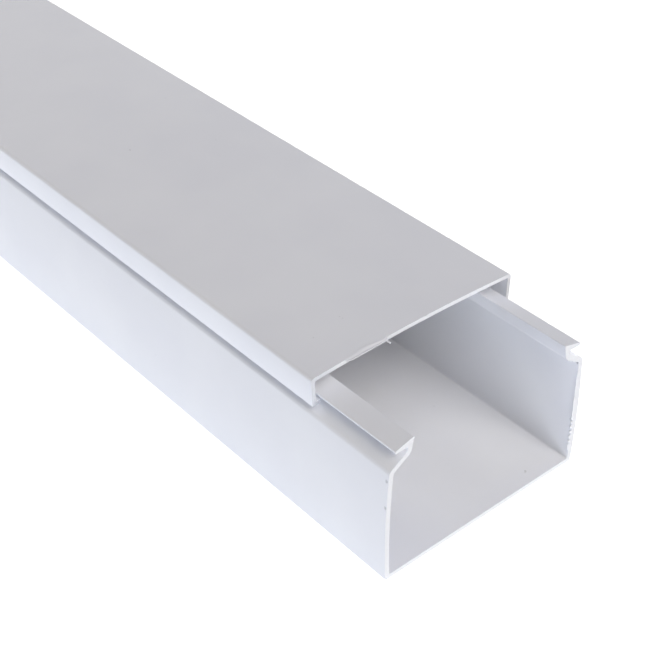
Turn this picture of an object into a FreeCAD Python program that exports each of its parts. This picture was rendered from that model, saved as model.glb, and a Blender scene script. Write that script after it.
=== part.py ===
import FreeCAD, Part
import math
import os

import Sketcher

# Cord cover raceway: an extruded channel that lies on its floor, and a lid that snaps on and slides along it.
# X runs along the raceway towards its near, open end, Y across it, Z up. The origin is the middle of the
# channel's underside. Each section is drawn as its half on the +Y side and mirrored about the middle.

# Driving sizes in millimetres and degrees. Each is kept in one cell of the sheet, under the same name.
SIZES = {
    # Channel: floor, bowed side walls and the shoulders that slope in above them
    "channel_length": 2000.0,
    "channel_width": 60.0,
    "channel_wall": 1.25,
    "bend_height": 31.55,
    "bend_inset": 0.3,
    "wall_bow": 0.55,
    "shoulder_angle": 33.0,
    "shoulder_width": 4.9,
    # Gripping edge of the channel: a neck, and a barbed rim that turns out over the shoulder. The lid's lip
    # rides down the lead on top of the barb and is held by the catch under it.
    "neck_angle": 10.0,
    "rim_rise": 6.5,
    "lead_angle": 15.5,
    "catch_angle": 2.0,
    "nose_wall": 0.8,
    "rim_inset": 1.8,
    # Lid: crowned top, side flanges, and lips that catch under the channel's rims
    "lid_length": 2000.0,
    "lid_setback": 24.0,
    "lid_wall": 1.0,
    "lid_headroom": 2.85,
    "lid_crown": 0.9,
    "lid_overhang": 0.45,
    "flange_angle": 2.0,
    "lip_overlap": 0.5,
    "lip_clearance": 0.6,
    # Corner radii
    "foot_radius": 0.4,
    "bend_radius": 0.3,
    "neck_radius": 0.8,
    "root_radius": 0.35,
    "lid_corner_radius": 1.0,
    "edge_radius": 0.2,
}

# How a constraint names the start, end and centre of an edge, the section's origin and its middle axis.
START, END, CENTRE = range(1, 4)
ORIGIN = (-1, START)
MIDDLE_AXIS = (-2,)
ON_EDGE = 1e-4


def make_sheet(doc):
    """Writes every driving size into a cell of its own."""
    sheet = doc.addObject("Spreadsheet::Sheet", "Sizes")
    for row, (name, value) in enumerate(SIZES.items(), start=1):
        sheet.set(f"A{row}", name)
        sheet.set(f"B{row}", str(value))
        sheet.setAlias(f"B{row}", name)
    doc.recompute()


def origin_plane(body, role):
    """The body's own origin plane of that role."""
    return next(feature for feature in body.Origin.OriginFeatures if feature.Role == role)


def point(across, height):
    """A point of a section."""
    return FreeCAD.Vector(across, height, 0)


def beyond(start, degrees, reach):
    """The point at a reach from the start, in a direction measured from straight across."""
    angle = math.radians(degrees)
    return start + point(reach * math.cos(angle), reach * math.sin(angle))


def crest(start, end, bow):
    """The middle of an arc that stands off its chord by the bow, to the right of start to end."""
    chord = end - start
    return (start + end) / 2 + point(chord.y, -chord.x) / chord.Length * bow


class Section:
    """A closed half section in a body's YZ plane, drawn edge by edge and held by constraints."""

    def __init__(self, body, name):
        self.sketch = body.newObject("Sketcher::SketchObject", name)
        self.sketch.AttachmentSupport = [(origin_plane(body, "YZ_Plane"), "")]
        self.sketch.MapMode = "FlatFace"
        self.places = {}
        self.outline = []

    def line(self, name, start, end, construction=False):
        """Draws a straight edge."""
        index = self.sketch.addGeometry(Part.LineSegment(start, end), construction)
        self.places[name] = (index, START, END)
        if not construction:
            self.outline.append(name)

    def arc(self, name, start, middle, end):
        """Draws an arc; a sketch keeps it anticlockwise, so its two ends may change places."""
        index = self.sketch.addGeometry(Part.Arc(start, middle, end), False)
        kept = (self.sketch.getPoint(index, START) - start).Length < ON_EDGE
        self.places[name] = (index, START, END) if kept else (index, END, START)
        self.outline.append(name)

    def edge(self, name):
        """One whole edge, as a constraint names it."""
        return (self.places[name][0],)

    def start(self, name):
        """The end of an edge where the outline enters it."""
        return (self.places[name][0], self.places[name][1])

    def end(self, name):
        """The end of an edge where the outline leaves it."""
        return (self.places[name][0], self.places[name][2])

    def centre(self, name):
        """The centre of an arc."""
        return (self.places[name][0], CENTRE)

    def close(self, smooth=()):
        """Joins each edge to the next; the joins after the smooth edges are tangent."""
        for name, following in zip(self.outline, self.outline[1:] + self.outline[:1]):
            kind = "Tangent" if name in smooth else "Coincident"
            self.relate(kind, self.end(name), self.start(following))

    def relate(self, kind, *where):
        """Adds a constraint that has no size."""
        self.sketch.addConstraint(Sketcher.Constraint(kind, *sum(where, ())))

    def size(self, name, kind, *where, to):
        """Adds a named constraint whose size is bound to an expression."""
        value = FreeCAD.Units.Quantity(self.sketch.evalExpression(to)).Value
        if kind == "Angle":
            value = math.radians(value)
        index = self.sketch.addConstraint(Sketcher.Constraint(kind, *sum(where, ()), value))
        self.sketch.renameConstraint(index, name)
        self.sketch.setExpression(f"Constraints.{name}", to)

    def measure(self, name, kind, *where):
        """Adds a named reference size, which other sections read."""
        index = self.sketch.addConstraint(Sketcher.Constraint(kind, *sum(where, ()), 1.0))
        self.sketch.setDriving(index, False)
        self.sketch.renameConstraint(index, name)

    def corner(self, name):
        """Where an edge of the outline begins, after solving."""
        place = self.sketch.getPoint(*self.start(name))
        return place.x, place.y


def channel_section(body):
    """Half of the channel: floor, bowed wall, sloping shoulder, neck and a barbed rim that turns out."""
    half = SIZES["channel_width"] / 2
    wall = SIZES["channel_wall"]
    nose_wall = SIZES["nose_wall"]
    rim_height = SIZES["bend_height"] + SIZES["rim_rise"]
    foot = point(half, 0)
    bend = foot + point(-SIZES["bend_inset"], SIZES["bend_height"])
    shoulder_run = SIZES["shoulder_width"] / math.cos(math.radians(SIZES["shoulder_angle"]))
    neck_foot = beyond(bend, 180 - SIZES["shoulder_angle"], shoulder_run)
    neck_head = beyond(neck_foot, 90 + SIZES["neck_angle"], wall)
    lead_fall = (half - SIZES["rim_inset"] - neck_head.x + wall) * math.tan(math.radians(SIZES["lead_angle"]))
    nose = point(half - SIZES["rim_inset"] - nose_wall / 2, rim_height - lead_fall - nose_wall / 2)
    rim_corner = point(neck_head.x - wall, rim_height)
    neck_inside = neck_foot + point(-wall, -wall / 2)
    bend_inside = bend + point(-wall, -wall)
    floor_corner = foot + point(-wall, wall)

    section = Section(body, "channel_section")
    section.line("floor_under", point(0, 0), foot)
    section.arc("wall_outer", foot, crest(foot, bend, SIZES["wall_bow"]), bend)
    section.line("shoulder_outer", bend, neck_foot)
    section.line("neck_outer", neck_foot, neck_head)
    section.line("rim_under", neck_head, nose + point(0, -nose_wall / 2))
    section.arc("rim_nose", nose + point(0, -nose_wall / 2), nose + point(nose_wall / 2, 0),
                nose + point(0, nose_wall / 2))
    section.line("rim_top", nose + point(0, nose_wall / 2), rim_corner)
    section.line("neck_inner", rim_corner, neck_inside)
    section.line("shoulder_inner", neck_inside, bend_inside)
    section.arc("wall_inner", bend_inside, crest(floor_corner, bend_inside, SIZES["wall_bow"]), floor_corner)
    section.line("floor_top", floor_corner, point(0, wall))
    section.line("middle", point(0, wall), point(0, 0))
    section.close(smooth=("rim_under", "rim_nose"))

    section.relate("Coincident", section.start("floor_under"), ORIGIN)
    section.relate("Horizontal", section.edge("floor_under"))
    section.size("half_width", "DistanceX", ORIGIN, section.end("floor_under"), to="Sizes.channel_width / 2")
    section.size("bend_inset", "DistanceX", section.end("wall_outer"), section.start("wall_outer"),
                 to="Sizes.bend_inset")
    section.size("bend_height", "DistanceY", section.start("wall_outer"), section.end("wall_outer"),
                 to="Sizes.bend_height")
    section.size("wall_radius", "Radius", section.edge("wall_outer"),
                 to="((Sizes.bend_height^2 + Sizes.bend_inset^2) / 4 + Sizes.wall_bow^2)"
                    " / (2 * Sizes.wall_bow)")
    section.size("shoulder_angle", "Angle", section.edge("shoulder_outer"), to="180 - Sizes.shoulder_angle")
    section.size("shoulder_width", "DistanceX", section.end("shoulder_outer"),
                 section.start("shoulder_outer"), to="Sizes.shoulder_width")
    section.size("neck_angle", "Angle", section.edge("neck_outer"), to="90 + Sizes.neck_angle")
    section.size("catch_angle", "Angle", section.edge("rim_under"), to="-Sizes.catch_angle")
    section.size("lead_angle", "Angle", section.edge("rim_top"), to="180 - Sizes.lead_angle")
    section.size("nose_radius", "Radius", section.edge("rim_nose"), to="Sizes.nose_wall / 2")
    section.size("nose_inset", "DistanceX", section.centre("rim_nose"), section.end("floor_under"),
                 to="Sizes.rim_inset + Sizes.nose_wall / 2")
    section.size("rim_height", "DistanceY", ORIGIN, section.end("rim_top"),
                 to="Sizes.bend_height + Sizes.rim_rise")
    section.relate("Parallel", section.edge("neck_inner"), section.edge("neck_outer"))
    section.size("neck_wall", "Distance", section.start("neck_outer"), section.edge("neck_inner"),
                 to="Sizes.channel_wall")
    section.relate("Parallel", section.edge("shoulder_inner"), section.edge("shoulder_outer"))
    section.size("shoulder_wall", "Distance", section.start("shoulder_outer"), section.edge("shoulder_inner"),
                 to="Sizes.channel_wall")
    section.relate("Coincident", section.centre("wall_inner"), section.centre("wall_outer"))
    section.size("wall_inner_radius", "Radius", section.edge("wall_inner"),
                 to=".Constraints.wall_radius - Sizes.channel_wall * 1mm")
    section.relate("Horizontal", section.edge("floor_top"))
    section.size("floor_wall", "DistanceY", ORIGIN, section.end("floor_top"), to="Sizes.channel_wall")
    section.relate("PointOnObject", section.end("floor_top"), MIDDLE_AXIS)
    section.measure("nose_height", "DistanceY", ORIGIN, section.centre("rim_nose"))
    return section


def lid_section(body):
    """Half of the lid: crowned top, leaning flange, and a lip that turns in under the channel's rim."""
    half = SIZES["channel_width"] / 2
    wall = SIZES["lid_wall"]
    rim_height = SIZES["bend_height"] + SIZES["rim_rise"]
    corner = point(half + SIZES["lid_overhang"], rim_height + SIZES["lid_headroom"] + wall)
    apex = point(0, corner.y + SIZES["lid_crown"])
    crown_middle = (apex + corner) / 2 + point(0, SIZES["lid_crown"] / 4)
    corner_inside = corner + point(-wall, -wall)
    lip_top = rim_height - 2 * SIZES["channel_wall"] - SIZES["lip_clearance"]
    lip_across = half - SIZES["rim_inset"] - SIZES["lip_overlap"]
    flange_foot = point(half, lip_top - wall)

    section = Section(body, "lid_section")
    section.arc("top_inner", apex + point(0, -wall), crown_middle + point(0, -wall), corner_inside)
    section.line("flange_inner", corner_inside, point(half - wall, lip_top))
    section.line("lip_top", point(half - wall, lip_top), point(lip_across, lip_top))
    section.line("lip_end", point(lip_across, lip_top), point(lip_across, flange_foot.y))
    section.line("lip_under", point(lip_across, flange_foot.y), flange_foot)
    section.line("flange_outer", flange_foot, corner)
    section.arc("top_outer", corner, crown_middle, apex)
    section.line("middle", apex, apex + point(0, -wall))
    section.close()

    section.size("lid_height", "DistanceY", ORIGIN, section.start("top_outer"),
                 to="Sizes.bend_height + Sizes.rim_rise + Sizes.lid_headroom + Sizes.lid_wall")
    section.size("half_width", "DistanceX", ORIGIN, section.start("top_outer"),
                 to="Sizes.channel_width / 2 + Sizes.lid_overhang")
    section.relate("PointOnObject", section.centre("top_outer"), MIDDLE_AXIS)
    section.size("crown_radius", "Radius", section.edge("top_outer"),
                 to="((Sizes.channel_width / 2 + Sizes.lid_overhang)^2 + Sizes.lid_crown^2)"
                    " / (2 * Sizes.lid_crown)")
    section.relate("PointOnObject", section.start("middle"), MIDDLE_AXIS)
    section.relate("PointOnObject", section.end("middle"), MIDDLE_AXIS)
    section.relate("Coincident", section.centre("top_inner"), section.centre("top_outer"))
    section.size("crown_inner_radius", "Radius", section.edge("top_inner"),
                 to=".Constraints.crown_radius - Sizes.lid_wall * 1mm")
    section.size("flange_angle", "Angle", section.edge("flange_outer"), to="90 - Sizes.flange_angle")
    section.relate("Parallel", section.edge("flange_inner"), section.edge("flange_outer"))
    section.size("flange_wall", "Distance", section.end("flange_outer"), section.edge("flange_inner"),
                 to="Sizes.lid_wall")
    section.relate("Horizontal", section.edge("lip_top"))
    section.relate("Vertical", section.edge("lip_end"))
    section.relate("Horizontal", section.edge("lip_under"))
    section.size("lip_across", "DistanceX", ORIGIN, section.start("lip_end"),
                 to="Sizes.channel_width / 2 - Sizes.rim_inset - Sizes.lip_overlap")
    section.size("lip_height", "DistanceY", ORIGIN, section.start("lip_end"),
                 to="channel_section.Constraints.nose_height"
                    " - (Sizes.nose_wall / 2 + Sizes.lip_clearance) * 1mm")
    section.size("lip_wall", "DistanceY", section.end("lip_end"), section.start("lip_end"),
                 to="Sizes.lid_wall")
    return section


def extrude(body, section, length):
    """Pads the half section to both sides of the middle of its length, and mirrors it across."""
    pad = body.newObject("PartDesign::Pad", f"{body.Name}_pad")
    pad.Profile = section.sketch
    pad.SideType = "Symmetric"
    pad.setExpression("Length", length)
    mirror = body.newObject("PartDesign::Mirrored", f"{body.Name}_mirror")
    mirror.Originals = [pad]
    mirror.MirrorPlane = (origin_plane(body, "XZ_Plane"), [""])
    body.Tip = mirror
    body.Document.recompute()


def edges_along(shape, corners):
    """Names of the edges that run along the length through the corners, on both sides."""
    names = []
    for number, edge in enumerate(shape.Edges, start=1):
        place = edge.Vertexes[0].Point
        along = abs(edge.Vertexes[-1].Point.x - place.x) > ON_EDGE
        at_corner = any(math.hypot(abs(place.y) - across, place.z - height) < ON_EDGE
                        for across, height in corners)
        if along and at_corner:
            names.append(f"Edge{number}")
    return names


def round_corners(body, name, corners, radius):
    """Rounds the long edges at the given corners of the section."""
    before = body.Tip
    edges = edges_along(before.Shape, corners)
    if len(edges) != 2 * len(corners):
        raise RuntimeError(f"{name} finds {len(edges)} edges for {len(corners)} corners")
    fillet = body.newObject("PartDesign::Fillet", name)
    fillet.Base = (before, edges)
    fillet.setExpression("Radius", radius)
    body.Tip = fillet
    body.Document.recompute()


def make_channel(doc):
    """The channel, laid on its floor."""
    body = doc.addObject("PartDesign::Body", "channel")
    body.Label = "base_channel"
    section = channel_section(body)
    extrude(body, section, "Sizes.channel_length")
    corner = section.corner
    round_corners(body, "foot_rounding", [corner("wall_outer"), corner("floor_top")], "Sizes.foot_radius")
    round_corners(body, "bend_inner_rounding", [corner("wall_inner")], "Sizes.bend_radius")
    round_corners(body, "bend_outer_rounding", [corner("shoulder_outer")],
                  "Sizes.bend_radius + Sizes.channel_wall")
    round_corners(body, "neck_outer_rounding", [corner("neck_outer")], "Sizes.neck_radius")
    round_corners(body, "neck_inner_rounding", [corner("shoulder_inner")],
                  "Sizes.neck_radius + Sizes.channel_wall")
    round_corners(body, "root_rounding", [corner("rim_under")], "Sizes.root_radius")
    round_corners(body, "rim_rounding", [corner("neck_inner")], "Sizes.edge_radius")
    return body


def make_lid(doc):
    """The lid, drawn back from the channel's near end as far as the setback."""
    body = doc.addObject("PartDesign::Body", "lid")
    body.Label = "snap_lid"
    section = lid_section(body)
    extrude(body, section, "Sizes.lid_length")
    corner = section.corner
    round_corners(body, "top_rounding", [corner("top_outer")], "Sizes.lid_corner_radius")
    edges = ("flange_inner", "lip_top", "lip_end", "lip_under", "flange_outer")
    round_corners(body, "edge_rounding", [corner(name) for name in edges], "Sizes.edge_radius")
    body.setExpression("Placement.Base.x",
                       "(Sizes.channel_length - Sizes.lid_length) / 2 - Sizes.lid_setback")
    return body


def check(doc, pieces):
    """Stops where a feature failed, a section is loose, or a piece isn't one valid solid."""
    for item in doc.Objects:
        if "Invalid" in item.State or "Error" in item.State:
            raise RuntimeError(f"{item.Label} failed: {item.State}")
        if item.TypeId == "Sketcher::SketchObject" and not item.FullyConstrained:
            raise RuntimeError(f"{item.Label} isn't fully constrained")
    for piece in pieces:
        if piece.Shape.isNull() or not piece.Shape.isValid() or len(piece.Shape.Solids) != 1:
            raise RuntimeError(f"{piece.Label} isn't one valid solid")


def main():
    doc = FreeCAD.newDocument("cord_cover_raceway")
    make_sheet(doc)
    pieces = [make_channel(doc), make_lid(doc)]
    doc.recompute()
    check(doc, pieces)
    os.makedirs("parts", exist_ok=True)
    for piece in pieces:
        piece.Shape.exportStep(f"parts/{piece.Label}.step")


main()
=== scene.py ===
"""Cord cover raceway: a rigid PVC channel whose out-turned rims hold a snap lid, on a pale studio floor.

The scene is in metres. X runs along the raceway towards its near, open end, Y across it and Z up. Sizes of
the object are written in millimetres and turned into metres where a mesh is made.
"""

from __future__ import annotations

import logging
import math
from dataclasses import dataclass, field
from enum import Enum
from typing import Any, Callable, Iterable

import bmesh
import bpy
from mathutils import Matrix, Vector

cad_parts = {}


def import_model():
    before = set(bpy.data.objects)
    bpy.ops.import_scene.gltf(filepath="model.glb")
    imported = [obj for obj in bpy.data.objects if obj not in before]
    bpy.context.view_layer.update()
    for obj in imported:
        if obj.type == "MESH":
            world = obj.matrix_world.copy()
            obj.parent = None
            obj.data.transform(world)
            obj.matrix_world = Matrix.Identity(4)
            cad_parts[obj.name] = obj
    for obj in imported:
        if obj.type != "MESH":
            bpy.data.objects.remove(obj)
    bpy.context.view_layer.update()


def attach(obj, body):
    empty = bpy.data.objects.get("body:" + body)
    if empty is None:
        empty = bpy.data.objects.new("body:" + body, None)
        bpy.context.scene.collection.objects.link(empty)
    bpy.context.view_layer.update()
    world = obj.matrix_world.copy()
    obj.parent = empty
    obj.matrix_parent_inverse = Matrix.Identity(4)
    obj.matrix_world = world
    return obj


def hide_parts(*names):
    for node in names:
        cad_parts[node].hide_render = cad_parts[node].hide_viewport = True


LOG = logging.getLogger("raceway")
MM = 0.001
# How near to a corner of the section a vertex lies that belongs to it, and how near two vertices lie that
# count as one, in millimetres.
NEAR_CORNER = 0.12
SAME_SPOT = 0.01
# Edges that turn by more degrees than this look sharp.
CREASE_ANGLE = 28
# A face belongs to a cut end when its normal has at least this share along the stock.
END_FACING = 0.9
# How uneven a small lump is, as a share of its least reach, and the first one's random seed.
LUMP_UNEVENNESS = 0.12
LUMP_SEED = 3
# The refractive index of rigid PVC, and the bands that a wave texture of scale one draws in a unit.
PVC_INDEX = 1.53
WAVE_BANDS = 3.2


class Element(Enum):
    """What is picked on a mesh in edit mode."""

    VERTEX = "VERT"
    EDGE = "EDGE"
    FACE = "FACE"


class Skin(Enum):
    """The surfaces of a cut length of extruded plastic, by material slot."""

    EXTRUDED = 0
    SAWN = 1
    BRUISED = 2


# Plane geometry of a section, in millimetres: x of a vector is across, y is height.


def heading(degrees: float) -> Vector:
    """Gives the direction at an angle from straight across.

    Args:
        degrees: The angle, turning upwards.

    Returns:
        The unit direction.
    """
    return Vector((math.cos(math.radians(degrees)), math.sin(math.radians(degrees))))


def leftward(direction: Vector) -> Vector:
    """Turns a direction by a quarter to the left.

    Args:
        direction: The direction.

    Returns:
        The turned direction, of the same length.
    """
    return Vector((-direction.y, direction.x))


def crossing(first: Vector, along_first: Vector, second: Vector, along_second: Vector) -> Vector:
    """Finds where two lines of a section meet.

    Args:
        first: A point of the first line.
        along_first: Its direction.
        second: A point of the second line.
        along_second: Its direction.

    Returns:
        The point that both lines share.
    """
    gap = second - first
    turn = along_first.x * along_second.y - along_first.y * along_second.x
    reach = (gap.x * along_second.y - gap.y * along_second.x) / turn
    return first + along_first * reach


def on_circle(centre: Vector, radius: float, start: Vector, along: Vector) -> Vector:
    """Finds where a line crosses a circle.

    Args:
        centre: The circle's centre.
        radius: Its radius.
        start: A point of the line, near the crossing that is wanted.
        along: The line's unit direction.

    Returns:
        The crossing nearest to the start.
    """
    offset = start - centre
    half = offset.dot(along)
    root = math.sqrt(half * half - offset.dot(offset) + radius * radius)
    reach = min(-half + root, -half - root, key=abs)
    return start + along * reach


def off_corner(point: Vector, corner: Vector) -> float:
    """Measures how far a vertex lies from a corner of the section.

    Args:
        point: The vertex's place in the scene.
        corner: Across and height of the corner, in millimetres.

    Returns:
        The distance, in millimetres.
    """
    return (Vector(point.yz) / MM - corner).length


def runs_along(edge: bmesh.types.BMEdge) -> bool:
    """Tells an edge that runs along the stock from one that lies in a section.

    Args:
        edge: The edge.

    Returns:
        Whether it runs along the stock.
    """
    one, two = edge.verts
    return abs(one.co.x - two.co.x) > MM


# Work in edit mode.


class Workpiece:
    """A mesh object that is modelled with Blender's own operators."""

    def __init__(self, obj: bpy.types.Object, name: str) -> None:
        """Takes the object that a primitive operator has just added.

        Args:
            obj: The new mesh object.
            name: What the piece is called.
        """
        self.obj = obj
        obj.name = name
        obj.data.name = name

    def hold(self) -> None:
        """Makes this the only selected object, in object mode."""
        if bpy.context.mode != "OBJECT":
            bpy.ops.object.mode_set(mode="OBJECT")
        bpy.ops.object.select_all(action="DESELECT")
        self.obj.select_set(True)
        bpy.context.view_layer.objects.active = self.obj

    def pick(self, kind: Element, wanted: Callable[[Any], bool]) -> int:
        """Enters edit mode and selects what a test accepts, and nothing else.

        Args:
            kind: Vertices, edges or faces.
            wanted: The test of one of them.

        Returns:
            How many were selected.
        """
        self.hold()
        bpy.ops.object.mode_set(mode="EDIT")
        bpy.ops.mesh.select_mode(type=kind.value)
        bpy.ops.mesh.select_all(action="DESELECT")
        mesh = bmesh.from_edit_mesh(self.obj.data)
        members = {Element.VERTEX: mesh.verts, Element.EDGE: mesh.edges, Element.FACE: mesh.faces}[kind]
        chosen = [item for item in members if wanted(item)]
        for item in chosen:
            item.select_set(True)
        mesh.select_flush_mode()
        bmesh.update_edit_mesh(self.obj.data)
        return len(chosen)

    def modify(self, kind: str, **settings: Any) -> None:
        """Adds a modifier, sets it and applies it.

        Args:
            kind: The modifier's type.
            settings: Its settings by name.
        """
        self.hold()
        bpy.ops.object.modifier_add(type=kind)
        modifier = self.obj.modifiers[-1]
        for key, value in settings.items():
            setattr(modifier, key, value)
        bpy.ops.object.modifier_apply(modifier=modifier.name)

    def round_edges(self, corners: Iterable[Vector], radius: float, turn: float, steps: int) -> None:
        """Rounds the long edges that run through the given corners of the section, on both sides.

        Args:
            corners: Across and height of each corner, in millimetres.
            radius: The radius of the rounding, in millimetres.
            turn: The angle by which the surface turns there, in radians.
            steps: How many facets the rounding has.
        """
        places = list(corners)

        def wanted(edge: bmesh.types.BMEdge) -> bool:
            """Accepts a long edge on either side that runs through one of the corners."""
            start = edge.verts[0].co
            spot = Vector((0, abs(start.y), start.z))
            return runs_along(edge) and any(off_corner(spot, place) < NEAR_CORNER for place in places)

        found = self.pick(Element.EDGE, wanted)
        if found != 2 * len(places):
            raise RuntimeError(f"{self.obj.name}: {found} edges found for {len(places)} corners")
        self.bevel(radius, turn, steps)

    @staticmethod
    def bevel(radius: float, turn: float, steps: int) -> None:
        """Rounds the selected edges.

        Args:
            radius: The radius of the rounding, in millimetres.
            turn: The angle by which the surface turns there, in radians.
            steps: How many facets the rounding has.
        """
        bpy.ops.mesh.bevel(offset=radius * math.tan(turn / 2) * MM, offset_type="OFFSET",
                           segments=steps, affect="EDGES")

    def shift_corner(self, old: Vector, new: Vector) -> None:
        """Moves a long edge of the section from one place to another, on both sides.

        Args:
            old: Across and height of the corner, in millimetres.
            new: Where it goes.
        """
        for side in (1, -1):
            place = Vector((side * old.x, old.y))
            found = self.pick(Element.VERTEX, lambda vertex: off_corner(vertex.co, place) < NEAR_CORNER)
            if found != 2:
                raise RuntimeError(f"{self.obj.name}: no single corner at {tuple(place)}")
            step = (new - old) * MM
            bpy.ops.transform.translate(value=(0, side * step.x, step.y))

    def close_up(self) -> None:
        """Points every face outwards and shades the piece, with creases kept where it turns sharply."""
        self.pick(Element.FACE, lambda face: True)
        bpy.ops.mesh.normals_make_consistent(inside=False)
        self.hold()
        bpy.ops.object.shade_smooth_by_angle(angle=math.radians(CREASE_ANGLE))

    def bite(self, cutter: Workpiece) -> None:
        """Takes a shape out of the piece and throws the cutter away.

        Args:
            cutter: The shape.
        """
        self.modify("BOOLEAN", operation="DIFFERENCE", solver="EXACT", object=cutter.obj)
        bpy.data.objects.remove(cutter.obj)


class WallSheet(Workpiece):
    """The middle surface of an extruded wall, drawn run by run from the raceway's middle plane outwards."""

    def __init__(self, name: str, length: float, middle: float, start: Vector) -> None:
        """Starts as one long edge.

        Args:
            name: What the piece is called.
            length: Length of the stock, in millimetres.
            middle: Where the middle of its length lies, in millimetres.
            start: Where the section begins.
        """
        bpy.ops.object.select_all(action="DESELECT")
        bpy.ops.mesh.primitive_plane_add(size=length * MM)
        super().__init__(bpy.context.object, name)
        self.pick(Element.VERTEX, lambda vertex: vertex.co.y < 0)
        bpy.ops.mesh.delete(type="VERT")
        self.pick(Element.VERTEX, lambda vertex: True)
        bpy.ops.transform.resize(value=(1, 0, 1), center_override=(0, 0, 0))
        bpy.ops.transform.translate(value=(middle * MM, start.x * MM, start.y * MM))
        self.pick(Element.EDGE, lambda edge: True)
        self.reached = start

    def run_to(self, point: Vector) -> None:
        """Extrudes the leading edge straight to a point of the section.

        Args:
            point: Where the run ends.
        """
        step = (point - self.reached) * MM
        bpy.ops.mesh.extrude_edges_move(TRANSFORM_OT_translate={"value": (0, step.x, step.y)})
        self.reached = point

    def bend_to(self, point: Vector, centre: Vector, steps: int) -> None:
        """Spins the leading edge round a centre to a point of the section.

        Args:
            point: Where the arc ends.
            centre: Its centre.
            steps: How many facets it has.
        """
        before, after = self.reached - centre, point - centre
        angle = math.atan2(before.x * after.y - before.y * after.x, before.dot(after))
        bpy.ops.mesh.spin(steps=steps, angle=-angle, center=(0, centre.x * MM, centre.y * MM), axis=(1, 0, 0))
        self.reached = point

    def thicken(self, wall: float) -> None:
        """Mirrors the half section, gives it its wall, and closes it at the ends.

        Args:
            wall: The wall's thickness, in millimetres.
        """
        self.modify("MIRROR", use_axis=(False, True, False), merge_threshold=SAME_SPOT * MM)
        self.modify("SOLIDIFY", thickness=wall * MM, offset=0, use_even_offset=True, use_quality_normals=True)
        self.pick(Element.FACE, lambda face: True)
        bpy.ops.mesh.normals_make_consistent(inside=False)


@dataclass(frozen=True)
class Lump:
    """A small uneven lump, in millimetres: a bite out of a cut edge, or a crumb that stands on it."""

    place: tuple[float, float, float]
    reach: tuple[float, float, float]
    lean: float = 0.0


@dataclass(frozen=True)
class DarkPatch:
    """A patch where a cut is painted a darker colour, in millimetres: full up to near, gone at far."""

    place: tuple[float, float, float]
    near: float
    far: float
    colour: str


def cluster(name: str, lumps: Iterable[Lump], skins: Iterable[bpy.types.Material], skin: Skin) -> Workpiece:
    """Makes one piece of many small uneven lumps.

    Args:
        name: What the piece is called.
        lumps: The lumps.
        skins: The materials by slot.
        skin: The one that the lumps take.

    Returns:
        The piece.
    """
    balls = []
    for number, lump in enumerate(lumps):
        bpy.ops.object.select_all(action="DESELECT")
        bpy.ops.mesh.primitive_ico_sphere_add(
            subdivisions=2, radius=MM, location=Vector(lump.place) * MM,
            rotation=(math.radians(lump.lean), 0, 0), scale=lump.reach)
        bpy.ops.object.mode_set(mode="EDIT")
        bpy.ops.mesh.select_all(action="SELECT")
        bpy.ops.transform.vertex_random(offset=LUMP_UNEVENNESS * min(lump.reach) * MM,
                                         seed=LUMP_SEED + number)
        bpy.ops.object.mode_set(mode="OBJECT")
        balls.append(bpy.context.object)
    for ball in balls:
        ball.select_set(True)
    bpy.context.view_layer.objects.active = balls[0]
    bpy.ops.object.join()
    piece = Workpiece(bpy.context.object, name)
    bpy.ops.object.transform_apply(location=True, rotation=True, scale=True)
    for material in skins:
        piece.obj.data.materials.append(material)
    for face in piece.obj.data.polygons:
        face.material_index = skin.value
    return piece


# Bites behind the saw-tooth burr of the right wall, and single knocks elsewhere on the near cuts.
CHANNEL_CHIPS = (
    Lump((999.1, 29.24, 12.9), (0.4, 0.1, 0.26)),
    Lump((999.4, 29.24, 11.9), (0.3, 0.07, 0.22)),
    Lump((999.2, 29.22, 10.1), (0.4, 0.09, 0.28)),
    Lump((999.3, 29.19, 8.6), (0.38, 0.09, 0.24)),
    Lump((999.5, 29.12, 5.8), (0.32, 0.1, 0.24)),
    Lump((999.5, 28.62, 30.4), (0.4, 0.3, 0.35)),
    Lump((999.4, -29.92, 29.1), (0.42, 0.2, 0.5)),
    Lump((999.6, -30.3, 21.9), (0.36, 0.18, 0.5)),
    Lump((1000, -29.95, 0.25), (0.7, 0.5, 0.55)),
)
LID_CHIPS = (
    Lump((976, -27.75, 34.45), (0.9, 0.5, 0.42)),
    Lump((976, -22.4, 42.45), (0.25, 0.6, 0.12)),
    Lump((976, 3.1, 42.85), (0.2, 0.7, 0.12)),
)
# White burr that the saw turned inwards, along the right wall and under the right shoulder.
CHANNEL_BURR = (
    Lump((999.86, 28.85, 27.0), (0.13, 0.22, 3.0), -3.0),
    Lump((999.86, 29.02, 23.4), (0.13, 0.4, 3.2), -2.0),
    Lump((999.86, 29.15, 18.9), (0.13, 0.5, 3.4), -1.0),
    Lump((999.86, 29.2, 15.4), (0.13, 0.56, 1.7)),
    Lump((999.68, 29.2, 13.6), (0.28, 0.5, 0.5), 6.0),
    Lump((999.68, 29.2, 12.3), (0.28, 0.42, 0.42), -8.0),
    Lump((999.68, 29.2, 10.9), (0.28, 0.48, 0.5), 5.0),
    Lump((999.68, 29.18, 9.3), (0.28, 0.4, 0.45)),
    Lump((999.68, 29.12, 7.8), (0.28, 0.36, 0.6), -6.0),
    Lump((999.65, 29.05, 6.4), (0.3, 0.34, 0.4)),
    Lump((999.65, 28.98, 4.6), (0.3, 0.3, 1.1)),
    Lump((999.65, 28.05, 31.05), (0.3, 0.45, 0.3), -25.0),
    Lump((999.65, 27.0, 31.65), (0.3, 0.5, 0.28), -38.0),
    Lump((999.65, 25.9, 32.4), (0.3, 0.45, 0.3), -30.0),
    Lump((999.65, 24.9, 33.05), (0.3, 0.4, 0.26), -36.0),
)
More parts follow.
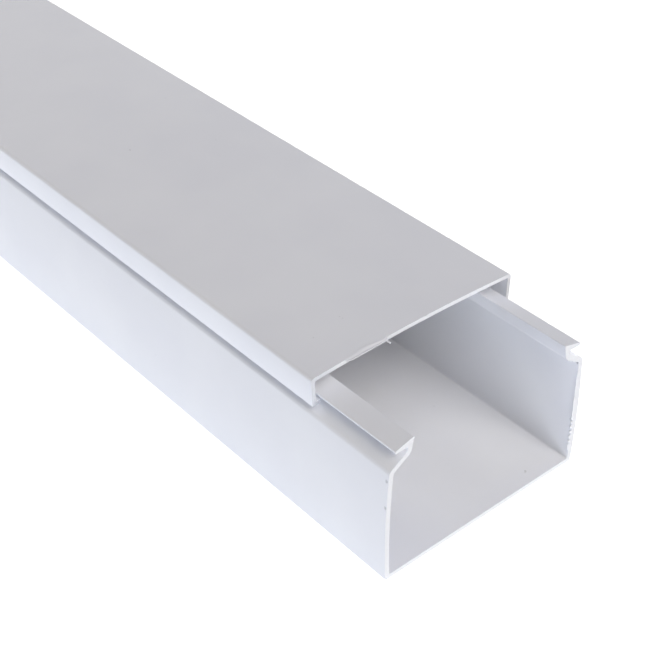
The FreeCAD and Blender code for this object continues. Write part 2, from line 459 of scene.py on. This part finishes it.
CHANNEL_SPECKS = (
    Lump((996.6, 18.0, 1.25), (0.34, 0.28, 0.05)),
    Lump((996.9, 17.6, 1.25), (0.16, 0.2, 0.04)),
)
LID_SPECKS = (
    Lump((871.0, -5.4, 42.77), (0.3, 0.22, 0.02)),
    Lump((963.6, -11.8, 42.66), (0.16, 0.14, 0.02)),
    Lump((964.5, -11.7, 42.66), (0.14, 0.16, 0.02)),
    Lump((965.5, -21.0, 42.37), (0.14, 0.14, 0.02)),
)
# Painted darker over the whole left flange's cut, and painted shade at the tip of its lip.
LID_DARK_AND_SHADE_PATCHES = (
    DarkPatch((976, -29.0, 34.8), 7.0, 10.5, "#CFD2D8"),
    # Painted shade on the lip's tip, which sits under the channel's rim.
    DarkPatch((976, -27.9, 34.5), 0.8, 2.6, "#A9ACB4"),
)


# Materials.


def linear(colour: str) -> tuple[float, float, float, float]:
    """Turns an sRGB colour into the linear one that shaders use.

    Args:
        colour: The colour as a hash sign and six hex digits.

    Returns:
        Red, green, blue and full opacity.
    """
    parts = [int(colour[place:place + 2], 16) / 255 for place in (1, 3, 5)]
    light = [part / 12.92 if part <= 0.04045 else ((part + 0.055) / 1.055) ** 2.4 for part in parts]
    return (*light, 1.0)


class NodeBoard:
    """The node tree of one material or of the world, emptied and built up again."""

    def __init__(self, tree: bpy.types.NodeTree) -> None:
        """Takes the tree and clears it.

        Args:
            tree: The node tree.
        """
        self.tree = tree
        tree.nodes.clear()

    def add(self, kind: str, inputs: dict[str | int, Any] | None = None, **settings: Any) -> bpy.types.Node:
        """Adds one node with its settings, values and links.

        Args:
            kind: The node's type.
            inputs: Each input's value, or the output socket that feeds it.
            settings: The node's own settings.

        Returns:
            The node.
        """
        node = self.tree.nodes.new(kind)
        for key, value in settings.items():
            setattr(node, key, value)
        for key, value in (inputs or {}).items():
            if isinstance(value, bpy.types.NodeSocket):
                self.tree.links.new(value, node.inputs[key])
            else:
                node.inputs[key].default_value = value
        return node

    def noise(self, place: bpy.types.NodeSocket, size: float, **more: float) -> bpy.types.NodeSocket:
        """Adds an even noise.

        Args:
            place: The coordinates.
            size: The size of its largest forms, in the unit of the coordinates.
            more: Other inputs by name.

        Returns:
            Its value at each place.
        """
        return self.add("ShaderNodeTexNoise", {"Vector": place, "Scale": 1 / size, **more}).outputs["Fac"]

    def ramp(self, value: bpy.types.NodeSocket, low: float, high: float) -> bpy.types.NodeSocket:
        """Maps a value to the range from nought to one, and holds it there.

        Args:
            value: The value.
            low: The value that gives nought.
            high: The value that gives one.

        Returns:
            The mapped value.
        """
        inputs = {"Value": value, "From Min": low, "From Max": high}
        return self.add("ShaderNodeMapRange", inputs).outputs["Result"]

    def blend(self, share: bpy.types.NodeSocket, first: Any, second: Any) -> bpy.types.NodeSocket:
        """Mixes two colours.

        Args:
            share: How much of the second one shows.
            first: A colour, or the socket that gives it.
            second: The other.

        Returns:
            The mixed colour.
        """
        inputs = {"Factor": share, "A": first, "B": second}
        return self.add("ShaderNodeMix", inputs, data_type="RGBA").outputs["Result"]

    def end_as_pvc(self, colour: bpy.types.NodeSocket, roughness: float, **relief: Any) -> None:
        """Closes the tree with a rigid PVC surface.

        Args:
            colour: Its colour.
            roughness: Its roughness.
            relief: The height, strength and distance of its bump, where it has one.
        """
        inputs = {"Base Color": colour, "Roughness": roughness, "IOR": PVC_INDEX}
        if relief:
            inputs["Normal"] = self.add("ShaderNodeBump", relief).outputs["Normal"]
        shader = self.add("ShaderNodeBsdfPrincipled", inputs)
        self.add("ShaderNodeOutputMaterial", {"Surface": shader.outputs["BSDF"]})


def start_material(name: str) -> tuple[bpy.types.Material, NodeBoard]:
    """Starts a material with an emptied node tree.

    Args:
        name: What the material is called.

    Returns:
        The material and its nodes.
    """
    material = bpy.data.materials.new(name)
    material.use_nodes = True
    return material, NodeBoard(material.node_tree)


@dataclass(frozen=True)
class ExtrudedPvc:
    """Rigid PVC as it leaves the die: opaque cool white, satin, with faint lines along the stock.

    The eye reads a smooth skin with a soft broad sheen, a barely uneven tone, and now and then a dark fleck.
    """

    name: str = "rigid_pvc_extruded_satin"
    colour: str = "#ECEEF3"
    cloud_colour: str = "#E8EAF0"
    fleck_colour: str = "#A9ACB2"
    roughness: float = 0.42
    cloud_size: float = 26.0
    cloud_range: tuple[float, float] = (0.35, 0.65)
    line_pitch: float = 0.55
    line_length: float = 260.0
    line_height: float = 0.0035
    fleck_spacing: float = 7.0
    fleck_radius: float = 0.16
    fleck_core: float = 0.4
    fleck_rarity: float = 0.55

    def make(self) -> bpy.types.Material:
        """Builds the material.

        Returns:
            The material.
        """
        material, board = start_material(self.name)
        place = board.add("ShaderNodeTexCoord").outputs["Object"]
        clouds = board.noise(place, self.cloud_size * MM, Detail=3.0, Roughness=0.45)
        cloudy = board.ramp(clouds, *self.cloud_range)
        tone = board.blend(cloudy, linear(self.colour), linear(self.cloud_colour))
        skin = board.blend(self.flecks(board, place), tone, linear(self.fleck_colour))
        across = 1 / (self.line_pitch * MM)
        stretched = board.add("ShaderNodeMapping", {
            "Vector": place, "Scale": (1 / (self.line_length * MM), across, across)})
        lines = board.noise(stretched.outputs["Vector"], 1.0, Detail=2.0, Roughness=0.6)
        board.end_as_pvc(skin, self.roughness, Height=lines, Strength=1.0, Distance=self.line_height * MM)
        return material

    def flecks(self, board: NodeBoard, place: bpy.types.NodeSocket) -> bpy.types.NodeSocket:
        """Scatters small dark flecks, as reground plastic leaves them.

        Args:
            board: The material's nodes.
            place: Object coordinates.

        Returns:
            One where a fleck lies and nought elsewhere.
        """
        cells = board.add("ShaderNodeTexVoronoi", {"Vector": place, "Scale": 1 / (self.fleck_spacing * MM)})
        shade = board.add("ShaderNodeSeparateColor", {"Color": cells.outputs["Color"]})
        chosen = board.add("ShaderNodeMath", {0: shade.outputs["Red"], 1: self.fleck_rarity},
                           operation="GREATER_THAN")
        edge = self.fleck_radius / self.fleck_spacing
        spot = board.ramp(cells.outputs["Distance"], edge, self.fleck_core * edge)
        return board.add("ShaderNodeMath", {0: chosen.outputs[0], 1: spot}, operation="MULTIPLY").outputs[0]


@dataclass(frozen=True)
class SawnPvc:
    """Rigid PVC where a toothed saw went through: matt, with fine parallel scores, painted darker in given
    patches.

    The eye reads a dry, even edge that shows every thin wall of the section.
    """

    name: str = "rigid_pvc_saw_cut"
    colour: str = "#E9EBEE"
    shade_colour: str = "#DEE0E4"
    roughness: float = 0.8
    score_pitch: float = 0.45
    score_height: float = 0.02
    score_angle: float = 12.0
    grain_size: float = 0.5
    dark_patches: tuple[DarkPatch, ...] = ()

    def make(self) -> bpy.types.Material:
        """Builds the material.

        Returns:
            The material.
        """
        material, board = start_material(self.name)
        place = board.add("ShaderNodeTexCoord").outputs["Object"]
        grain = board.noise(place, self.grain_size * MM, Detail=2.0)
        tone = board.blend(grain, linear(self.colour), linear(self.shade_colour))
        # Each patch paints the cut a darker colour, full up to near and gone at far.
        for patch in self.dark_patches:
            middle = Vector(patch.place) * MM
            away = board.add("ShaderNodeVectorMath", {0: place, 1: middle}, operation="DISTANCE")
            fade = board.ramp(away.outputs["Value"], patch.far * MM, patch.near * MM)
            tone = board.blend(fade, tone, linear(patch.colour))
        turned = board.add("ShaderNodeMapping", {
            "Vector": place, "Rotation": (math.radians(self.score_angle), 0, 0)})
        scores = board.add("ShaderNodeTexWave", {
            "Vector": turned.outputs["Vector"], "Scale": 1 / (self.score_pitch * MM) / WAVE_BANDS,
            "Distortion": 2.5, "Detail": 2.0, "Detail Scale": 1.5}, bands_direction="Z")
        board.end_as_pvc(tone, self.roughness, Height=scores.outputs["Fac"], Strength=0.6,
                         Distance=self.score_height * MM)
        return material


@dataclass(frozen=True)
class BruisedPvc:
    """Rigid PVC that a knock or a snagging tooth crushed: a shade greyer than the skin, and rough.

    The eye reads a small dull nick against the bright cut.
    """

    name: str = "rigid_pvc_bruised"
    colour: str = "#DADCE0"
    pit_colour: str = "#CBCDD2"
    roughness: float = 0.9
    grain_size: float = 0.3

    def make(self) -> bpy.types.Material:
        """Builds the material.

        Returns:
            The material.
        """
        material, board = start_material(self.name)
        place = board.add("ShaderNodeTexCoord").outputs["Object"]
        pits = board.noise(place, self.grain_size * MM)
        board.end_as_pvc(board.blend(pits, linear(self.colour), linear(self.pit_colour)), self.roughness)
        return material


def dress(piece: Workpiece, skins: Iterable[bpy.types.Material]) -> None:
    """Gives the long faces the extruded skin and the cut ends the sawn one.

    Args:
        piece: The piece.
        skins: The materials by slot.
    """
    piece.obj.data.materials.clear()
    for material in skins:
        piece.obj.data.materials.append(material)
    for face in piece.obj.data.polygons:
        face.material_index = (Skin.SAWN if abs(face.normal.x) > END_FACING else Skin.EXTRUDED).value


def finish_stock(piece: Workpiece, skins: Iterable[bpy.types.Material], chips: Iterable[Lump]) -> None:
    """Shades and dresses a length of stock, and chips its cut edges.

    Args:
        piece: The length of stock.
        skins: The materials by slot.
        chips: The bites to take out of it.
    """
    piece.close_up()
    dress(piece, skins)
    piece.bite(cluster("saw_bites", chips, skins, Skin.BRUISED))
    piece.hold()


# The two pieces of the raceway.


@dataclass
class Channel:
    """The channel: floor, bowed side walls, sloping shoulders, necks, and barbed rims that turn out.

    Sizes are in millimetres and angles in degrees. The two roundings of the blunt nose take up nose_share of
    it. Drawing the sheet finds the corners of the rim, and barb says which of them move, and where to.
    """

    skins: tuple[bpy.types.Material, ...]
    chips: tuple[Lump, ...]
    length: float = 2000.0
    width: float = 60.0
    wall: float = 1.25
    bend_height: float = 31.55
    bend_inset: float = 0.3
    wall_bow: float = 0.55
    shoulder_angle: float = 33.0
    shoulder_width: float = 4.9
    neck_angle: float = 10.0
    rim_rise: float = 6.5
    lead_angle: float = 15.5
    catch_angle: float = 2.0
    nose_wall: float = 0.8
    rim_inset: float = 1.8
    foot_radius: float = 0.4
    bend_radius: float = 0.3
    neck_radius: float = 0.8
    root_radius: float = 0.35
    edge_radius: float = 0.2
    nose_share: float = 0.98
    wall_facets: int = 16
    bend_facets: int = 8
    foot_facets: int = 4
    rim_facets: int = 5
    rim_tip: Vector = field(init=False)
    root: Vector = field(init=False)
    nose_top: Vector = field(init=False)
    nose_foot: Vector = field(init=False)
    barb: tuple[tuple[Vector, Vector], ...] = field(init=False)

    def sheet(self) -> WallSheet:
        """Draws the middle surface of half the channel, and finds the corners of its rim.

        Returns:
            The sheet, with its bend and its neck rounded.
        """
        half_wall = self.wall / 2
        foot = Vector((self.width / 2, 0))
        bend = foot + Vector((-self.bend_inset, self.bend_height))
        chord = bend - foot
        radius = (chord.length_squared / 4 + self.wall_bow ** 2) / (2 * self.wall_bow)
        inwards = leftward(chord).normalized()
        centre = (foot + bend) / 2 - inwards * self.wall_bow + inwards * radius

        shoulder = heading(180 - self.shoulder_angle)
        neck = heading(90 + self.neck_angle)
        lead = heading(-self.lead_angle)
        catch = heading(-self.catch_angle)
        neck_foot = bend + shoulder * self.shoulder_width / -shoulder.x
        on_shoulder = bend + leftward(shoulder) * half_wall
        on_neck = neck_foot + leftward(neck) * half_wall
        inner_neck = neck_foot + leftward(neck) * self.wall
        across, upright = Vector((1, 0)), Vector((0, 1))
        self.rim_tip = crossing(inner_neck, neck, upright * (self.bend_height + self.rim_rise), across)
        on_rim = self.rim_tip - leftward(lead) * half_wall
        nose_end = self.width / 2 - self.rim_inset
        rim_end = on_rim + lead * (nose_end - on_rim.x) / lead.x
        nose_radius = self.nose_wall / 2
        under_lead = self.rim_tip - leftward(lead) * nose_radius
        nose = under_lead + lead * (nose_end - nose_radius - under_lead.x) / lead.x
        on_catch = nose - leftward(catch) * nose_radius

        floor = upright * half_wall
        foot_corner = on_circle(centre, radius - half_wall, foot + floor - across * half_wall, across)
        bend_corner = on_circle(centre, radius - half_wall, on_shoulder, shoulder)
        neck_corner = crossing(on_shoulder, shoulder, on_neck, neck)
        rim_corner = crossing(on_neck, neck, on_rim, lead)
        end, half_rim = across * nose_end, leftward(lead) * half_wall
        self.root = crossing(neck_foot, neck, on_catch, catch)
        self.nose_top = crossing(self.rim_tip, lead, end, upright)
        self.nose_foot = crossing(on_catch, catch, end, upright)
        self.barb = ((2 * rim_corner - self.rim_tip, self.root), (rim_end + half_rim, self.nose_top),
                     (rim_end - half_rim, self.nose_foot))

        sheet = WallSheet("base_channel_skin", self.length, 0, floor)
        sheet.run_to(foot_corner)
        sheet.bend_to(bend_corner, centre, self.wall_facets)
        sheet.run_to(neck_corner)
        sheet.run_to(rim_corner)
        sheet.run_to(rim_end)
        arriving = leftward(bend_corner - centre).normalized()
        for corner, turn, inner_radius in ((bend_corner, arriving.angle(shoulder), self.bend_radius),
                                           (neck_corner, shoulder.angle(neck), self.neck_radius)):
            sheet.pick(Element.EDGE, lambda edge: runs_along(edge) and
                       off_corner(edge.verts[0].co, corner) < NEAR_CORNER)
            sheet.bevel(inner_radius + half_wall, turn, self.bend_facets)
        return sheet

    def build(self) -> Workpiece:
        """Models the channel, chips its cut edges and dresses it.

        Returns:
            The finished piece, riding on its body.
        """
        sheet = self.sheet()
        sheet.thicken(self.wall)
        foot = Vector((self.width / 2, 0))
        inner_foot = foot + Vector((-self.wall, self.wall))
        sheet.round_edges([foot, inner_foot], self.foot_radius, math.radians(90), self.foot_facets)
        for corner, place in self.barb:
            sheet.shift_corner(corner, place)
        nose_radius = self.nose_share * self.nose_wall / 2
        for corner, radius, turn in (
                (self.rim_tip, self.edge_radius, 90 + self.neck_angle + self.lead_angle),
                (self.root, self.root_radius, 90 + self.neck_angle + self.catch_angle),
                (self.nose_top, nose_radius, 90 - self.lead_angle),
                (self.nose_foot, nose_radius, 90 + self.catch_angle)):
            sheet.round_edges([corner], radius, math.radians(turn), self.rim_facets)
        finish_stock(sheet, self.skins, self.chips)
        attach(sheet.obj, "channel")
        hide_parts("base_channel")
        return sheet


@dataclass
class SnapLid:
    """The lid: crowned top, side flanges that lean in, and lips that catch under the channel's rims.

    Sizes are in millimetres and angles in degrees.
    """

    skins: tuple[bpy.types.Material, ...]
    chips: tuple[Lump, ...]
    length: float = 2000.0
    setback: float = 24.0
    width: float = 60.0
    wall: float = 1.0
    corner_height: float = 41.9
    crown: float = 0.9
    overhang: float = 0.45
    flange_angle: float = 2.0
    lip_foot: float = 34.289
    lip_end: float = 27.7
    corner_radius: float = 1.0
    edge_radius: float = 0.2
    crown_facets: int = 24
    corner_facets: int = 8
    edge_facets: int = 3

    def build(self) -> Workpiece:
        """Models the lid, chips its cut edges and dresses it.

        Returns:
            The finished piece, riding on its body.
        """
        half_wall = self.wall / 2
        corner = Vector((self.width / 2 + self.overhang, self.corner_height))
        radius = (corner.x ** 2 + self.crown ** 2) / (2 * self.crown)
        centre = Vector((0, corner.y + self.crown - radius))
        flange = heading(-90 - self.flange_angle)
        on_flange = corner - leftward(flange) * half_wall
        on_lip = Vector((self.lip_end, self.lip_foot + half_wall))
        top_corner = on_circle(centre, radius - half_wall, on_flange, flange)
        lip_corner = crossing(on_flange, flange, on_lip, Vector((1, 0)))
        foot = crossing(corner, flange, Vector((0, self.lip_foot)), Vector((1, 0)))

        top = Vector((0, centre.y + radius - half_wall))
        sheet = WallSheet("snap_lid_skin", self.length, -self.setback, top)
        sheet.bend_to(top_corner, centre, self.crown_facets)
        sheet.run_to(lip_corner)
        sheet.run_to(on_lip)
        sheet.thicken(self.wall)
        arriving = -leftward(corner - centre).normalized()
        top_turn = arriving.angle(flange)
        sheet.round_edges([corner], self.corner_radius, top_turn, self.corner_facets)
        sheet.round_edges([2 * top_corner - corner], self.edge_radius, top_turn, self.edge_facets)
        half = Vector((0, half_wall))
        for pair in ([foot, 2 * lip_corner - foot], [on_lip + half, on_lip - half]):
            sheet.round_edges(pair, self.edge_radius, math.radians(90), self.edge_facets)
        finish_stock(sheet, self.skins, self.chips)
        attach(sheet.obj, "lid")
        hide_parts("snap_lid")
        return sheet


@dataclass(frozen=True)
class FeatherRib:
    """One cross rib of the feathered edge, in millimetres.

    It says where across the lid the rib stands, how far its crest lies behind the cut, how far the rib
    reaches past the cut, how deep its end hangs below the lid's top, and how high its crest stands above it.
    """

    across: float
    behind: float
    ahead: float
    drop: float
    crest: float = 0.0


@dataclass
class SawFeather:
    """The thin feather of plastic that the saw dragged out of the lid's top edge, with a spur at one end.

    Sizes are in millimetres and angles in degrees. Each rib runs from a root buried in the lid over a crest
    and down a slope into a hollow, then over a lip to its end. Depths count down from the lid's top. A rib
    shorter than full_span has its hollow and lip drawn in by the same share.
    """

    lid: SnapLid
    thickness: float = 0.11
    full_span: float = 1.15
    root_reach: float = 0.7
    root_depth: float = 0.12
    slope_share: float = 0.35
    slope_depth: float = 0.08
    hollow_back: float = 0.36
    hollow_depth: float = 0.18
    lip_back: float = 0.1
    lip_rise: float = 0.06
    ribs: tuple[FeatherRib, ...] = (
        FeatherRib(-20.9, 0.1, 0.05, 0.05),
        FeatherRib(-20.3, 0.2, 0.75, 0.15),
        FeatherRib(-19.2, 0.3, 0.9, 0.2),
        FeatherRib(-17.6, 0.45, 0.95, 0.2, 0.02),
        FeatherRib(-16.3, 0.65, 0.95, 0.2, 0.06),
        FeatherRib(-15.1, 0.65, 0.95, 0.2, 0.1),
        FeatherRib(-13.9, 0.4, 0.95, 0.2, 0.13),
        FeatherRib(-12.7, 0.15, 0.95, 0.2, 0.13),
        FeatherRib(-11.6, -0.05, 0.95, 0.2, 0.11),
        FeatherRib(-10.6, -0.2, 0.95, 0.2, 0.08),
        FeatherRib(-9.9, -0.25, 0.9, 0.2, 0.04),
        FeatherRib(-9.3, 0.05, 0.6, 0.2),
        FeatherRib(-8.9, 0.15, 0.2, 0.1),
    )
    spur_across: float = -9.4
    spur_depth: float = 0.45
    spur_reach: float = 1.7
    spur_root: float = 0.4
    spur_root_radius: float = 0.4
    spur_tip_radius: float = 0.2
    spur_sides: int = 6
    spur_droop: float = 4.0
    spur_swing: float = 4.0

    def top_at(self, across: float) -> float:
        """Gives the height of the lid's crowned top.

        Args:
            across: Where across the lid, in millimetres.

        Returns:
            The height, in millimetres.
        """
        half = self.lid.width / 2 + self.lid.overhang
        return self.lid.corner_height + self.lid.crown * (1 - (across / half) ** 2)

    def build(self) -> Workpiece:
        """Models the feather and its spur on the lid's near cut.

        Returns:
            The finished piece, riding on the lid.
        """
        cut = self.lid.length / 2 - self.lid.setback
        bpy.ops.object.select_all(action="DESELECT")
        profiles = [self.profile(rib) for rib in self.ribs]
        columns, rows = len(profiles[0]) - 1, len(profiles) - 1
        bpy.ops.mesh.primitive_grid_add(x_subdivisions=columns, y_subdivisions=rows, size=2 * MM)
        piece = Workpiece(bpy.context.object, "lid_saw_feather")
        for number, rib in enumerate(self.ribs):
            for column, (along, depth) in enumerate(profiles[number]):
                old = Vector((2 * column / columns - 1, 2 * number / rows - 1, 0)) * MM
                new = Vector((cut + along, rib.across, self.top_at(rib.across) - depth)) * MM
                piece.pick(Element.VERTEX, lambda vertex: (vertex.co - old).length < SAME_SPOT * MM)
                bpy.ops.transform.translate(value=new - old)
        piece.modify("SOLIDIFY", thickness=self.thickness * MM, offset=0)
        piece.modify("SUBSURF", levels=1, render_levels=1)
        self.add_spur(piece, cut)
        piece.close_up()
        dress(piece, self.lid.skins)
        piece.hold()
        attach(piece.obj, "lid")
        return piece

    def profile(self, rib: FeatherRib) -> tuple[tuple[float, float], ...]:
        """Runs along one rib: its root, crest, slope, hollow, lip and end.

        Args:
            rib: The rib.

        Returns:
            Distance past the cut and depth below the lid's top of each point, in millimetres.
        """
        span = rib.ahead + rib.behind
        size = min(1.0, span / self.full_span)
        return ((-rib.behind - self.root_reach, self.root_depth),
                (-rib.behind, -rib.crest),
                (self.slope_share * span - rib.behind, self.slope_depth),
                (rib.ahead - self.hollow_back * size, self.slope_depth + self.hollow_depth * size),
                (rib.ahead - self.lip_back * size, self.slope_depth - self.lip_rise * size),
                (rib.ahead, rib.drop))

    def add_spur(self, piece: Workpiece, cut: float) -> None:
        """Adds the pointed sliver that sticks out at the feather's end.

        Args:
            piece: The feather.
            cut: Where the lid's cut lies, in millimetres.
        """
        middle = (cut + (self.spur_reach - self.spur_root) / 2, self.spur_across,
                  self.top_at(self.spur_across) - self.spur_depth)
        bpy.ops.object.select_all(action="DESELECT")
        bpy.ops.mesh.primitive_cone_add(
            vertices=self.spur_sides, radius1=self.spur_root_radius * MM, radius2=self.spur_tip_radius * MM,
            depth=(self.spur_reach + self.spur_root) * MM, location=Vector(middle) * MM,
            rotation=(0, math.radians(90 + self.spur_droop), math.radians(self.spur_swing)))
        bpy.ops.object.transform_apply(location=True, rotation=True, scale=True)
        piece.obj.select_set(True)
        bpy.context.view_layer.objects.active = piece.obj
        bpy.ops.object.join()


@dataclass
class Crumbs:
    """Burr or specks that sit on a piece."""

    name: str
    lumps: tuple[Lump, ...]
    skins: tuple[bpy.types.Material, ...]
    skin: Skin
    body: str
    slot: str

    def build(self) -> Workpiece:
        """Models the crumbs.

        Returns:
            The finished piece, riding on its body.
        """
        piece = cluster(self.name, self.lumps, self.skins, self.skin)
        piece.close_up()
        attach(piece.obj, self.body)
        return piece


# Studio.


@dataclass(frozen=True)
class SoftLamp:
    """A wide, distant lamp: how it lights a face that looks straight at it, and where it comes from."""

    name: str
    towards: tuple[float, float, float]
    strength: float
    tint: str = "#FFFFFF"
    spread: float = 40.0

    def hang(self) -> None:
        """Puts the lamp up."""
        lamp = bpy.data.lights.new(self.name, "SUN")
        lamp.energy = self.strength * math.pi
        lamp.color = linear(self.tint)[:3]
        lamp.angle = math.radians(self.spread)
        # Only shadow rays pass the floor, so no share of a low lamp's light may rest on bounced rays.
        lamp.cycles.use_multiple_importance_sampling = False
        obj = bpy.data.objects.new(self.name, lamp)
        bpy.context.scene.collection.objects.link(obj)
        obj.rotation_euler = Vector(self.towards).to_track_quat("Z", "Y").to_euler()


@dataclass
class Studio:
    """White floor and surroundings, soft lamps, and the camera at the photograph's angle.

    The floor is a lit table: the low lamps shine up through its white sheet, so walls and rims are bright
    from below while the channel's floor and the lid's top stay soft grey. Lengths are in metres, and the lens
    is given by its focal length in pixels of a square frame.
    """

    eye: tuple[float, float, float] = (1.15326, -0.1761, 0.22791)
    view: tuple[float, float, float] = (-0.61291, 0.5162, -0.59823)
    right: tuple[float, float, float] = (0.64692, 0.76254, -0.00482)
    focal_pixels: float = 1399.0
    frame_pixels: int = 648
    sensor_width: float = 36.0
    nearest: float = 0.01
    surround: float = 0.02
    floor_colour: str = "#ECEDEE"
    floor_glow: float = 0.7
    floor_reach: float = 6.0
    lamps: tuple[SoftLamp, ...] = (
        SoftLamp("high_front_lamp", (0.72, -0.1, 0.69), 0.497, "#FFF7EC"),
        SoftLamp("ceiling_lamp", (0.35, -0.1, 0.93), 0.197, "#FCFCFF"),
        SoftLamp("high_right_lamp", (0.05, 0.7, 0.7), 0.107, "#BBCDFF"),
        SoftLamp("high_front_right_lamp", (0.6, 0.5, 0.62), 0.066),
        SoftLamp("low_left_lamp", (0.0, -0.6, -0.8), 0.275, "#EEF5FF"),
        SoftLamp("low_front_left_lamp", (0.69, -0.66, -0.3), 0.424, "#F4F9FF"),
        SoftLamp("steep_front_left_lamp", (0.45, -0.5, -0.74), 0.13, "#D6DCFF"),
        SoftLamp("low_far_lamp", (-0.6, 0.62, -0.5), 0.6),
    )

    def camera(self) -> None:
        """Sets the camera where the photograph was taken from."""
        lens = bpy.data.cameras.new("photo_camera")
        lens.sensor_width = self.sensor_width
        lens.lens = self.focal_pixels / self.frame_pixels * self.sensor_width
        lens.clip_start = self.nearest
        obj = bpy.data.objects.new("photo_camera", lens)
        bpy.context.scene.collection.objects.link(obj)
        back = -Vector(self.view).normalized()
        right = Vector(self.right).normalized()
        turn = Matrix((right, back.cross(right), back)).transposed()
        obj.matrix_world = Matrix.Translation(self.eye) @ turn.to_4x4()
        bpy.context.scene.camera = obj

    def world(self) -> None:
        """Surrounds the object with even light, and shows plain white behind it."""
        world = bpy.data.worlds.new("studio_surround")
        bpy.context.scene.world = world
        world.use_nodes = True
        board = NodeBoard(world.node_tree)
        seen = self.seen_ray(board)
        white_colour = linear("#FFFFFF")
        light = board.add("ShaderNodeBackground", {"Color": white_colour, "Strength": self.surround})
        white = board.add("ShaderNodeBackground", {"Color": white_colour, "Strength": 1.0})
        mix = board.add("ShaderNodeMixShader", {0: seen, 1: light.outputs[0], 2: white.outputs[0]})
        board.add("ShaderNodeOutputWorld", {"Surface": mix.outputs[0]})

    @staticmethod
    def seen_ray(board: NodeBoard) -> bpy.types.NodeSocket:
        """Tells rays from the eye, straight, by a gloss or through glass, from the rest.

        Args:
            board: The nodes of the world or of the floor.

        Returns:
            One for such a ray, and nought for any other.
        """
        ray = board.add("ShaderNodeLightPath").outputs
        seen = ray["Is Camera Ray"]
        for other in ("Is Glossy Ray", "Is Transmission Ray"):
            seen = board.add("ShaderNodeMath", {0: seen, 1: ray[other]}, operation="MAXIMUM").outputs[0]
        return seen

    def floor(self) -> None:
        """Lays the white floor, which keeps the object's shadow."""
        bpy.ops.object.select_all(action="DESELECT")
        bpy.ops.mesh.primitive_plane_add(size=2 * self.floor_reach)
        floor = Workpiece(bpy.context.object, "studio_floor").obj
        material, board = start_material("matt_white_floor_paint")
        paint = board.add("ShaderNodeBsdfDiffuse", {"Color": linear(self.floor_colour)})
        seen = self.seen_ray(board)
        glow = board.add("ShaderNodeMath", {0: seen, 1: self.floor_glow}, operation="MULTIPLY")
        shine = board.add("ShaderNodeEmission", {"Strength": glow.outputs[0]})
        both = board.add("ShaderNodeAddShader", {0: paint.outputs[0], 1: shine.outputs[0]})
        board.add("ShaderNodeOutputMaterial", {"Surface": both.outputs[0]})
        floor.data.materials.append(material)
        # The low lamps shine up through it.
        floor.visible_shadow = False

    def set_up(self) -> None:
        """Sets up camera, surroundings, floor and lamps."""
        self.camera()
        self.world()
        self.floor()
        for lamp in self.lamps:
            lamp.hang()


def corners(box: tuple[Vector, Vector]) -> list[list[float]]:
    """Writes a box as plain lists.

    Args:
        box: Its lowest and highest corners.

    Returns:
        The same corners as lists.
    """
    return [list(corner) for corner in box]


def main() -> None:
    """Builds the raceway in order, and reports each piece."""
    logging.basicConfig(level=logging.INFO, format="%(name)s: %(message)s")
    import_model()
    bpy.context.scene.view_settings.view_transform = "Standard"
    Studio().set_up()
    extruded, bruised = ExtrudedPvc().make(), BruisedPvc().make()
    skins = (extruded, SawnPvc().make(), bruised)
    # The lid's cut is painted darker over its left flange, with painted shade on its lip's tip under the rim.
    lid_cut = SawnPvc("rigid_pvc_saw_cut_darkened_painted_shade", "#EBEDF1", "#E0E2E8", dark_patches=LID_DARK_AND_SHADE_PATCHES)
    lid_skins = (extruded, lid_cut.make(), bruised)
    channel = Channel(skins, CHANNEL_CHIPS)
    lid = SnapLid(lid_skins, LID_CHIPS)
    for maker in (channel, lid, SawFeather(lid),
                  Crumbs("channel_saw_burr", CHANNEL_BURR, skins, Skin.SAWN, "channel", "channel_pvc"),
                  Crumbs("channel_specks", CHANNEL_SPECKS, skins, Skin.BRUISED, "channel", "channel_pvc"),
                  Crumbs("lid_specks", LID_SPECKS, skins, Skin.BRUISED, "lid", "lid_pvc")):
        piece = maker.build()
        LOG.info("%s: %d faces", piece.obj.name, len(piece.obj.data.polygons))


if __name__ == "__main__":
    main()
